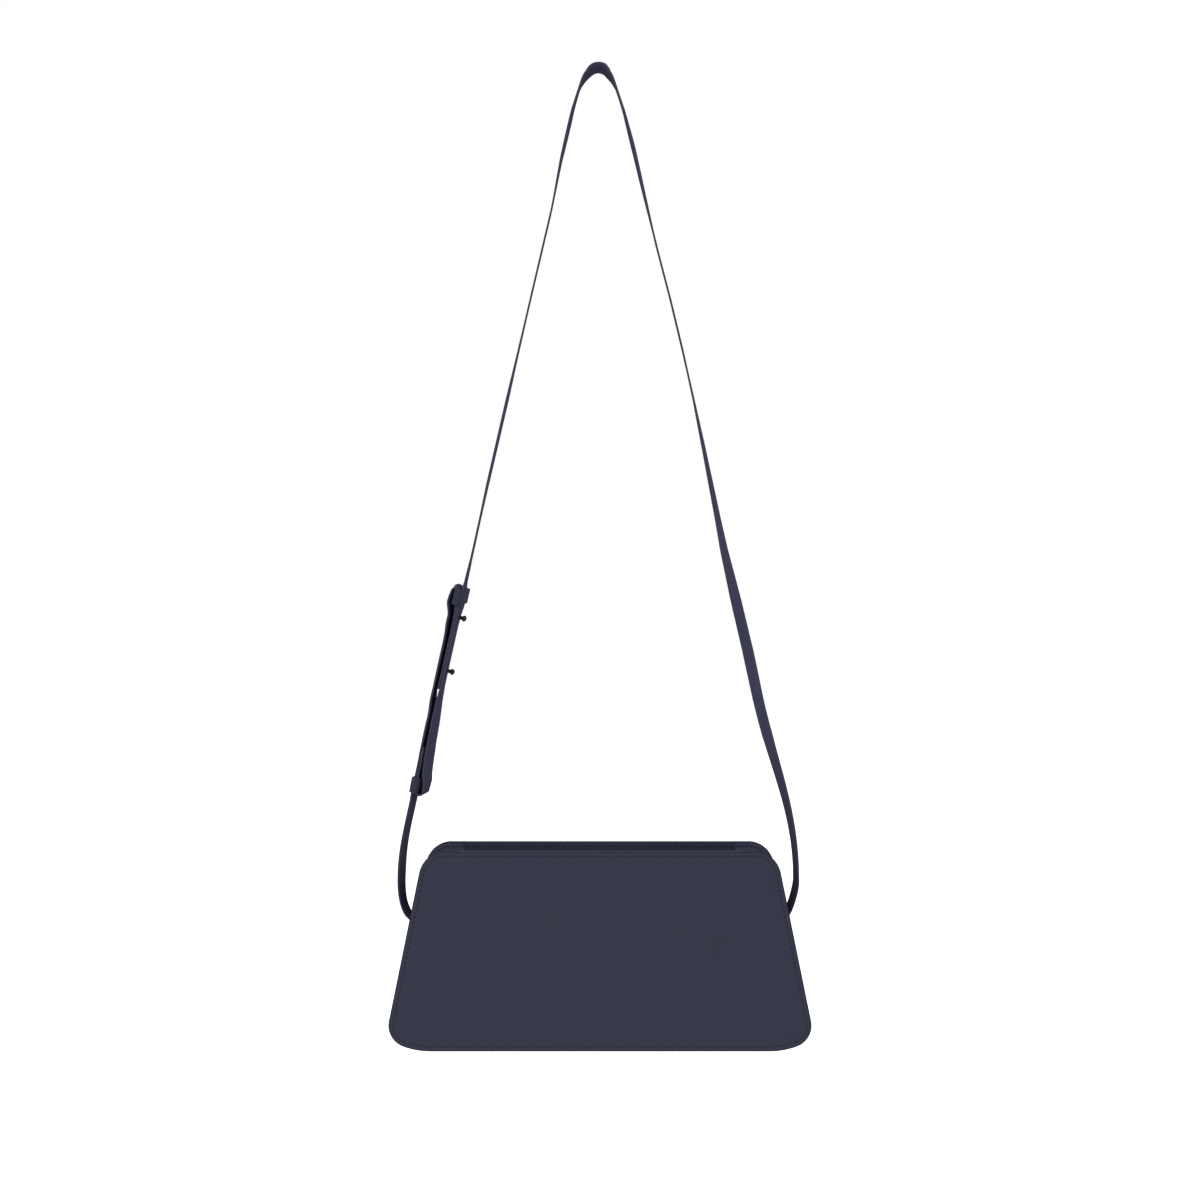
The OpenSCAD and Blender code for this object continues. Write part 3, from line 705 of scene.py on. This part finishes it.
def bezier(a, b, c, d, steps=16):
    places = []
    for i in range(1, steps + 1):
        t = i / steps
        weights = ((1 - t) ** 3, 3 * (1 - t) ** 2 * t, 3 * (1 - t) * t * t, t ** 3)
        places.append(tuple(sum(w * p[k] for w, p in zip(weights, (a, b, c, d))) for k in (0, 1)))
    return places


def arc(centre, radius, first, last, steps=24):
    turn = [first + (last - first) * i / steps for i in range(steps + 1)]
    return [(centre[0] + radius * math.cos(a), centre[1] + radius * math.sin(a)) for a in turn]


adjuster_tilt = leg_tilt(-KEEPER_X, KEEPER_Z) - math.atan(layer / KEEPER_GAP)
lean_x, lean_z = math.sin(adjuster_tilt), math.cos(adjuster_tilt)
keeper_low = (-KEEPER_X + layer * lean_z, KEEPER_Z - layer * lean_x)


def adj(u, v):
    """A place on the adjuster: u up from the lower keeper, v across, both tails at v = 0."""
    return (keeper_low[0] + u * lean_x + v * lean_z, keeper_low[1] + u * lean_z - v * lean_x)


stud_u = (KEEPER_GAP - STUD_DROP, KEEPER_GAP - STUD_DROP - STUD_PITCH)

# Each outer strand from its start to its keeper: how far from the keeper's middle, how far from
# the tail, its twist in degrees, and its skew, which is how much higher its back edge lies for
# each mm of width. Then the middle of the fold round the keeper's wall, and the end of the tail.
UPPER_SKEW = 0.12
LOWER_SKEW = 0.08
FOLD_FLAT = 0.8
UPPER_STRAND = ((113, layer, 0, 0), (80, layer, 0, 0), (72, 1.6, 0, 0), (65, 2.5, 0, 0),
                (57, 2.9, 0, 0), (48, 2.6, 3, 0), (26, 2.7, 3, 0), (18, 3.2, 3.5, 0),
                (10, 3.3, 3.5, UPPER_SKEW), (3, 5, 2.5, UPPER_SKEW))
UPPER_FOLD = -4.1
UPPER_TAIL = 57.5
LOWER_STRAND = ((53.6, layer, 0, 0), (41, 1.9, -1, 0), (28, 2.5, -2.2, 0), (16, 3.2, -6.2, 0),
                (9, 4, -6.2, LOWER_SKEW), (4.5, 5.2, -4, LOWER_SKEW))
LOWER_FOLD = -1.8
LOWER_TAIL = 25


def smooth(knots, steps=8):
    """A curve through its knots, each a tuple, level at every knot that is a peak."""
    places = [knots[0]]
    for k in range(len(knots) - 1):
        a, b = knots[k], knots[k + 1]
        before, after = knots[max(k - 1, 0)], knots[min(k + 2, len(knots) - 1)]
        for i in range(1, steps + 1):
            t = i / steps
            weights = (2 * t ** 3 - 3 * t ** 2 + 1, t ** 3 - 2 * t ** 2 + t,
                       3 * t ** 2 - 2 * t ** 3, t ** 3 - t ** 2)
            places.append(tuple(
                weights[0] * p + weights[1] * (q - o) / 2 + weights[2] * q + weights[3] * (r - p) / 2
                for o, p, q, r in zip(before, a, b, after)))
    return places


def end_loop(strand, fold_middle, skew, tail, place):
    """A strap's outer strand, its fold round the keeper's wall and its tail back through it."""
    strand = smooth(strand)
    fold_r = strand[-1][1] / 2
    fold = [(fold_middle + FOLD_FLAT * y, fold_r + x, 0, skew)
            for x, y in arc((0, 0), fold_r, 0, -math.pi)]
    return [(*place(u, v), twist, lift)
            for u, v, twist, lift in strand + fold + [(tail, 0, 0, 0)]]


# Outside the slit the strap runs clear of the leaning side, also where the bag has swung furthest.
SWING_DEG = 45
RUN_GAP = 0.3
exit_out = STRAP_W / 2 * math.sin(math.radians(SWING_DEG)) * math.tan(TILT) + RUN_GAP

# Each bow: how far out it stands, the share of that where the leather first runs level, and the
# share of its rise where it then stands upright.
RIGHT_BOW = {"out": 10.2, "reach": 0.24, "steep": 0.35}
LEFT_BOW = {"out": 12, "reach": 0.6, "steep": 0.55}
LEG_EASE = 0.38
STRAIGHT_FROM = (97, 210)


def rise(end, tilt, shape):
    """Out of the slit on the right side, round the bow and up to where the leg runs straight."""
    x = slit_x_mm + exit_out
    bow = (slit_x_mm + shape["out"], slit_z_mm + BOW_RISE)
    reach = (end[1] - bow[1]) * LEG_EASE
    return (bezier((x, slit_z_mm), (x + shape["reach"] * (bow[0] - x), slit_z_mm),
                   (bow[0], bow[1] - shape["steep"] * BOW_RISE), bow)
            + bezier(bow, (bow[0], bow[1] + reach),
                     (end[0] + reach * math.sin(tilt), end[1] - reach * math.cos(tilt)), end))


# Behind the slit the strap bends down over the lip and lies on the gusset's lining.
LIP_BEND_R = 2
STRAP_TAIL = 30
LINING_T = 0.6
tail_depth = GUSSET_T / MM + LINING_T + LAYER_GAP + STRAP_T / 2
lip_z = slit_z_mm - LIP_BEND_R
lip = (side_x(lip_z * MM, RECESS + (tail_depth - LIP_BEND_R) * MM) / MM, lip_z)
over_lip = arc(lip, LIP_BEND_R, math.pi / 2, math.pi + TILT, steps=12)
tail_foot = (over_lip[-1][0] + STRAP_TAIL * math.sin(TILT),
             over_lip[-1][1] - STRAP_TAIL * math.cos(TILT))
strap_end = ([(slit_x_mm + exit_out, slit_z_mm)] + over_lip + [tail_foot])[::-1]

right_tilt = leg_tilt(*STRAIGHT_FROM)
long_top = adj(KEEPER_GAP + KEEPER_H, layer)
left_tilt = leg_tilt(*long_top)

# The top bend hangs a little askew, with its front edge the higher one.
BEND_H = 20
BEND_LIFT = 1
BEND_SKEW = -0.09
BEND_STEPS = 24
bend_foot = HANG_H + STRAP_T / 2 + BEND_LIFT - BEND_H


def half_bend(tilt):
    """The right half of the top bend, from where a leg of that lean meets it: half an oval."""
    reach = bend_r + (HANG_H - PEG_R - bend_foot) * math.sin(tilt)
    half_w = math.sqrt(reach ** 2 - (BEND_H * math.sin(tilt)) ** 2) / math.cos(tilt)
    first = math.atan(BEND_H / half_w * math.tan(tilt))
    turn = [first + (math.pi / 2 - first) * i / BEND_STEPS for i in range(BEND_STEPS + 1)]
    return [(half_w * math.cos(a), bend_foot + BEND_H * math.sin(a), 0, BEND_SKEW * math.sin(a))
            for a in turn]


long_route = ([(x, z, 0, 0) for x, z in strap_end + rise(STRAIGHT_FROM, right_tilt, RIGHT_BOW)]
              + half_bend(right_tilt)[:-1] + [(-x, *rest) for x, *rest in half_bend(left_tilt)[::-1]]
              + [(*long_top, 0, 0)]
              + end_loop(LOWER_STRAND, LOWER_FOLD, LOWER_SKEW, LOWER_TAIL, adj))
short_foot = adj(-KEEPER_H, -layer)
short_route = ([(-x, z, 0, 0) for x, z in
                strap_end + rise((-short_foot[0], short_foot[1]), adjuster_tilt, LEFT_BOW)]
               + end_loop(UPPER_STRAND, UPPER_FOLD, UPPER_SKEW, UPPER_TAIL,
                          lambda u, v: adj(KEEPER_GAP - u, -v)))

# The leather is not quite flat: each leg turns a little about its own line on its way down.
# Height in mm, and the turn in degrees that shows more of the inner face to the front.
RIGHT_TURN = ((76, 1), (82, 4), (92, 4.5), (106, 3.7), (121, 4.8), (136, 6.8), (160, 10.5),
              (185, 14.5), (210, 15), (234, 15.9), (271, 15), (296, 10), (320, 5), (345, 2.5),
              (369, 0), (394, -3.2), (425, -4.5), (492, -4.5), (530, 0), (550, 1), (565, -1),
              (577, -3.5), (586, -3.5), (592, 0))
LEFT_TURN = ((76, 2), (80, 5), (95, 7.5), (107, 8.5), (121, 7.3), (130, 6.8), (148, 7),
             (152, 8), (163, 6.5), (172, 6.7), (179, 9.2), (195, 9.7), (205, 7.7), (212, 5),
             (218, 2.4), (225, 2), (255, 2), (262, 4), (268, 9), (275, 7), (280, 0), (290, -1),
             (296, -2.6), (320, -3), (345, -1.4), (394, -0.8), (418, -3), (443, -3.8),
             (516, -3.8), (541, -1.3), (555, 0), (568, 0), (577, -2.5), (586, -3.5), (592, 0))

# Nor is either leg quite straight. Height in mm, and how far outwards from a taut leg it stands.
RIGHT_STRAY = ((210, 0), (240, 0.4), (271, 0.1), (302, -0.2), (332, 0.6), (363, 1.4),
               (394, 2), (424, 2.1), (455, 1.7), (486, 0.6), (516, 0.2), (547, 0),
               (571, -0.8), (581, -1.8), (588, -2.5), (593, -2.8), (596.5, -1.7), (598, -0.8))
LEFT_STRAY = ((85, 0), (95, -0.3), (105, -0.5), (148, -0.5), (160, 0), (300, 0), (340, 0.5),
              (460, 0.5), (510, 0.3), (541, 1.5), (571, 1.4), (581, 0.8), (590, 0), (594, -0.3),
              (598, 0.8))


def between(table, key):
    keys, values = zip(*table)
    return float(np.interp(key, keys, values))


def spine(points):
    """Middle line of a leg, as (z, x) pairs from the bottom up."""
    return sorted((z, x) for x, z in points)


spine_foot = slit_z_mm + 2
right_spine = spine([p[:2] for p in long_route if p[0] > 0 and p[1] > spine_foot])
left_spine = spine([p[:2] for p in short_route if spine_foot < p[1] < short_foot[1] + 1]
                   + [adj(u, layer / 3) for u in (0, KEEPER_GAP)]
                   + [long_top, (-bend_r * math.cos(left_tilt), HANG_H - PEG_R)])
TREND = 2


def turned(x, y, z, turn=None):
    """Where a point of the flat strap lies after its leg's turn, in metres in the shared frame."""
    line, table, stray, sense = ((right_spine, RIGHT_TURN, RIGHT_STRAY, 1) if x > 0
                                 else (left_spine, LEFT_TURN, LEFT_STRAY, -1))
    angle = math.radians(between(table, z) if turn is None else turn) * sense
    centre = Vector((between(line, z), 0, z))
    way = Vector((between(line, z + TREND) - between(line, z - TREND), 0, 2 * TREND)).normalized()
    place = centre + Matrix.Rotation(angle, 3, way) @ (Vector((x, y, z)) - centre)
    place.x += between(stray, z) * sense
    return Vector((place.x * MM, place.y * MM, BASE + place.z * MM))


def refined(route, shortest=0.01, longest=5):
    """A route without doubled places, and with steps short enough to bend well."""
    places = [route[0]]
    for a, b in zip(route, route[1:]):
        gap = math.dist(a[:2], b[:2])
        if gap < shortest:
            continue
        steps = math.ceil(gap / longest)
        places += [tuple(p + (q - p) * i / steps for p, q in zip(a, b))
                   for i in range(1, steps + 1)]
    return places


# Half the strap's section as (across, out) pairs, a rounded edge and then a flat face.
flat_half = STRAP_W / 2 - STRAP_EDGE_R
flat_out = STRAP_T / 2 - STRAP_EDGE_R
edge_half = [(flat_half + STRAP_EDGE_R * math.cos(a),
              flat_out * math.copysign(1, a) + STRAP_EDGE_R * math.sin(a))
             for a in map(math.radians, (-90, -60, -30, -5, 5, 30, 60, 90))]
face_half = [(share * flat_half, STRAP_T / 2) for share in (0.75, 0.4, 0, -0.4, -0.75)]
half_section = edge_half + face_half
SECTION = half_section + [(-across, -out) for across, out in half_section]
ON_EDGE = {first + k for first in (0, len(half_section)) for k in range(len(edge_half) - 1)}


def ribbon(name, route, body_nodes):
    """A strap along a route, its cut edges painted."""
    places = refined(route)
    rings = []
    for i, (x, z, twist, skew) in enumerate(places):
        before, after = places[max(i - 1, 0)], places[min(i + 1, len(places) - 1)]
        way = Vector((after[0] - before[0], after[1] - before[1])).normalized()
        cos, sin = math.cos(math.radians(twist)), math.sin(math.radians(twist))
        ring = []
        for across, up in SECTION:
            y, out = across * cos + up * sin, up * cos + across * sin
            ring.append(turned(x + way.y * out, y, z - way.x * out + y * skew))
        rings.append(ring)
    piece = loft(name, rings, [strap_calf_painted_light, strap_edge], None,
                 paint=lambda i, j: 1 if j in ON_EDGE else 0)
    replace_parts(piece, *body_nodes)
    return piece


# Drawn lighter than the panels' calf: painted light that makes up for the little lamp light that
# reaches the legs' sideways faces.
strap_calf_painted_light = calf_leather("bridle_leather_painted_light", "#47475d", roughness=0.75, grain_mm=0.5,
                          specular=0.0, relief_mm=0.02)
strap_edge = edge_paint("strap_edge_paint", "#424254", specular=0.01)
long_strap = ribbon("strap_long", long_route, ["strap_long", "strap_end_right"])
short_strap = ribbon("strap_short", short_route, ["strap_short", "strap_end_left"])

# Holes punched at half the studs' pitch: one for each stud, one between them, and spare ones, two
# above and one below. They are counted from the upper stud's hole.
HOLE_R = 1.15
HOLE_REACH = 1
HOLES_ABOVE = 2
HOLES_BELOW = 3


def round_at(u, v, radius, count):
    """A ring of points round a place on the adjuster, in the plane of its leather."""
    ring = []
    for k in range(count):
        angle = math.tau * k / count
        x, z = adj(u + radius * math.cos(angle), v)
        ring.append(turned(x, radius * math.sin(angle), z))
    return ring


for i in range(-HOLES_ABOVE, HOLES_BELOW + 1):
    rims = [round_at(stud_u[0] - i * STUD_PITCH / 2, v, HOLE_R, count=20)
            for v in (layer - HOLE_REACH, layer + HOLE_REACH)]
    cut_out(long_strap, loft("hole_cutter", rims, [], None))

for strap in (long_strap, short_strap):
    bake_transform(strap)

# Strap ends
# Inside the bag each strap end lies under a leather patch, and two rivets go through the patch,
# the strap, the lining and the gusset.
for side in ("left", "right"):
    finish("anchor_patch_" + side, navy_calf, FACING_EDGE)
    finish("anchor_rivets_" + side, dark_gunmetal)

# Keepers and studs
# Each keeper is a closed band of 1.3 mm leather that hangs in one strap's fold and lets the other
# strap slide through. Two gunmetal button studs, screwed from behind, hold the straps together.
KEEPER_T = 1.3
KEEPER_PLAY = 0.25
KEEPER_BEND_R = 1.2
KEEPER_EDGE_R = 0.5
keeper_calf = calf_leather("keeper_leather", "#3a3b4a", roughness=0.7, grain_mm=0.5,
                           specular=0.01, relief_mm=0.03)


def stadium(half_v, half_y, radius, steps=10):
    """A rectangle with round corners, as (v, y, normal v, normal y) round its outline."""
    places = []
    for sv, sy, first in ((1, 1, 0), (-1, 1, 90), (-1, -1, 180), (1, -1, 270)):
        for i in range(steps + 1):
            angle = math.radians(first + 90 * i / steps)
            places.append((sv * (half_v - radius) + radius * math.cos(angle),
                           sy * (half_y - radius) + radius * math.sin(angle),
                           math.cos(angle), math.sin(angle)))
    return places


def keeper(name, middle_u, middle_v, turn, skew):
    """A keeper whose middle is at a place on the adjuster, turned by some degrees as a whole."""
    inner_v = STRAP_T + LAYER_GAP / 2 + KEEPER_PLAY
    inner_y = STRAP_W / 2 + KEEPER_PLAY
    r, h = KEEPER_EDGE_R, KEEPER_H / 2
    quarter = [math.radians(a) for a in (0, 30, 60, 90)]
    section = ([(KEEPER_T - r + r * math.cos(a), h - r + r * math.sin(a)) for a in quarter]
               + [(r - r * math.sin(a), h - r + r * math.cos(a)) for a in quarter])
    painted = {first + k for first in (0, len(section)) for k in range(1, len(section) - 1)}
    section += [(out, -up) for out, up in section[::-1]]
    rings = []
    for v, y, normal_v, normal_y in stadium(inner_v, inner_y, KEEPER_BEND_R):
        ring = []
        for out, up in section:
            x, z = adj(middle_u + up, middle_v + v + normal_v * out)
            deep = y + normal_y * out
            ring.append(turned(x, deep, z + deep * skew, turn))
        rings.append(ring)
    piece = loft(name, rings, [keeper_calf, strap_edge], "strap", closed=True,
                 paint=lambda i, j: 1 if j in painted else 0)
    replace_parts(piece, name)


# Both keepers have slipped up a little, and each hangs askew with the fold that it sits in.
UPPER_UP = 0.6
UPPER_OUT = 0.4
UPPER_KEEPER_TURN = 11.5
LOWER_UP = 1.6
LOWER_KEEPER_TURN = 7
keeper("keeper_upper", KEEPER_GAP + UPPER_UP, layer / 2 - UPPER_OUT, UPPER_KEEPER_TURN, UPPER_SKEW)
keeper("keeper_lower", LOWER_UP, -layer / 2, LOWER_KEEPER_TURN, LOWER_SKEW)

STUD_HEAD_R = 1.9
STUD_NECK_R = 1.25
STUD_WAIST_R = 1.15
STUD_OUT = 4.8
NECK_SHARE = 0.5
WIDEST_AT = 0.36
SCREW_BASE_R = 3.2
SCREW_BASE_T = 0.8


def turning(name, u, profile):
    """A turned metal piece on the adjuster, from its profile of (v, radius) pairs."""
    rings = [round_at(u, v, radius, count=24) for v, radius in profile]
    piece = loft(name, rings, [dark_gunmetal], "strap")
    return piece


stud_face = layer + STRAP_T / 2
head_from = stud_face + STUD_OUT * NECK_SHARE
head_l = stud_face + STUD_OUT - head_from
stud_profile = ([(-STRAP_T / 2, STUD_NECK_R), (stud_face, STUD_NECK_R),
                 (head_from - 0.5, STUD_WAIST_R), (head_from, STUD_NECK_R)]
                + [(head_from + head_l * WIDEST_AT * (1 - math.cos(a)),
                    STUD_NECK_R + (STUD_HEAD_R - STUD_NECK_R) * math.sin(a))
                   for a in map(math.radians, (30, 60, 90))]
                + [(head_from + head_l * (WIDEST_AT + (1 - WIDEST_AT) * math.sin(a)),
                    STUD_HEAD_R * math.cos(a)) for a in map(math.radians, (25, 50, 65, 78, 86))])
base_face = -STRAP_T / 2 - SCREW_BASE_T
screw_profile = ((base_face, SCREW_BASE_R * 0.5), (base_face, SCREW_BASE_R - 0.35),
                 (base_face + 0.12, SCREW_BASE_R - 0.1), (base_face + 0.35, SCREW_BASE_R),
                 (-STRAP_T / 2, SCREW_BASE_R))
for name, u in zip(("upper", "lower"), stud_u):
    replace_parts(turning("stud_" + name, u, stud_profile), "stud_" + name)
    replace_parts(turning("stud_screw_" + name, u, screw_profile), "stud_screws")

# Studio
# A white paper cove, a broad soft lamp in front on the left, a smaller one behind on the right,
# and an even white surround, which is how small goods are photographed for a catalogue.
SURROUND_GLOW = 0.62
PAPER_WHITE = 0.9
PAPER_GLOW = 0.82
FLOOR_DROP = 0.22
FLOOR_HALF = 6


def light_path_mix(tree, seen, unseen):
    """seen where the camera, a reflection or glass looks, unseen for the light that it gives."""
    path = add_node(tree, "ShaderNodeLightPath")
    either = add_node(tree, "ShaderNodeMath", settings={"operation": "MAXIMUM"},
                      links={0: path.outputs["Is Camera Ray"], 1: path.outputs["Is Glossy Ray"]})
    any_ray = add_node(tree, "ShaderNodeMath", settings={"operation": "MAXIMUM"},
                       links={0: either.outputs["Value"],
                              1: path.outputs["Is Transmission Ray"]})
    return add_node(tree, "ShaderNodeMixShader",
                    links={0: any_ray.outputs["Value"], 1: unseen, 2: seen})


world = bpy.data.worlds.new("surround")
bpy.context.scene.world = world
world.use_nodes = True
sky = world.node_tree
sky.nodes.clear()
white = add_node(sky, "ShaderNodeBackground", values={"Color": (1, 1, 1, 1), "Strength": 1.0})
glow = add_node(sky, "ShaderNodeBackground",
                values={"Color": (1, 1, 1, 1), "Strength": SURROUND_GLOW})
both = light_path_mix(sky, white.outputs[0], glow.outputs[0])
add_node(sky, "ShaderNodeOutputWorld", links={"Surface": both.outputs[0]})

cove = bpy.data.materials.new("white_cove")
cove.use_nodes = True
paper = cove.node_tree
paper.nodes.clear()
matt = add_node(paper, "ShaderNodeBsdfDiffuse",
                values={"Color": (PAPER_WHITE, PAPER_WHITE, PAPER_WHITE, 1)})
bright = add_node(paper, "ShaderNodeEmission",
                  values={"Color": (1, 1, 1, 1), "Strength": PAPER_GLOW})
washed = add_node(paper, "ShaderNodeAddShader", links={0: matt.outputs[0], 1: bright.outputs[0]})
paper_mix = light_path_mix(paper, washed.outputs[0], matt.outputs[0])
add_node(paper, "ShaderNodeOutputMaterial", links={"Surface": paper_mix.outputs[0]})
floor_mesh = bpy.data.meshes.new("floor")
floor_corners = [(x * FLOOR_HALF, y * FLOOR_HALF, BASE - FLOOR_DROP)
                 for x, y in ((-1, -1), (1, -1), (1, 1), (-1, 1))]
floor_mesh.from_pydata(floor_corners, [], [(0, 1, 2, 3)])
floor_mesh.materials.append(cove)
floor = bpy.data.objects.new("floor", floor_mesh)
bpy.context.scene.collection.objects.link(floor)


def lamp(name, place, aim, size, watts):
    light = bpy.data.lights.new(name, "AREA")
    light.shape = "DISK"
    light.size = size
    light.energy = watts
    holder = bpy.data.objects.new(name, light)
    holder.location = place
    direction = Vector(aim) - Vector(place)
    holder.rotation_euler = direction.to_track_quat("-Z", "Y").to_euler()
    bpy.context.scene.collection.objects.link(holder)


BAG_MIDDLE = (0, 0, BASE + PANEL_H / 2)
lamp("broad_lamp", (-0.9, -1.5, 0.6), BAG_MIDDLE, size=1.6, watts=14)
lamp("rim_lamp", (1.2, 1.3, 0.7), BAG_MIDDLE, size=1.2, watts=8)

# Camera
# It stands level with the middle of the picture, 1.24 m in front of the front panel, which is
# drawn at 0.6 mm for each pixel of a picture 1200 pixels wide.
SENSOR_W = 36
PICTURE_PX = 1200
FRONT_PX_MM = 0.6
CAMERA_TO_FRONT = 1.24
PICTURE_MIDDLE_UP = 0.271
camera_data = bpy.data.cameras.new("camera")
camera_data.sensor_width = SENSOR_W
camera_data.lens = SENSOR_W * CAMERA_TO_FRONT / (PICTURE_PX * FRONT_PX_MM * MM)
camera = bpy.data.objects.new("camera", camera_data)
camera.location = (0, FRONT_Y - CAMERA_TO_FRONT, BASE + PICTURE_MIDDLE_UP)
camera.rotation_euler = (math.radians(90), 0, 0)
bpy.context.scene.collection.objects.link(camera)
bpy.context.scene.camera = camera
bpy.context.scene.view_settings.view_transform = "Standard"
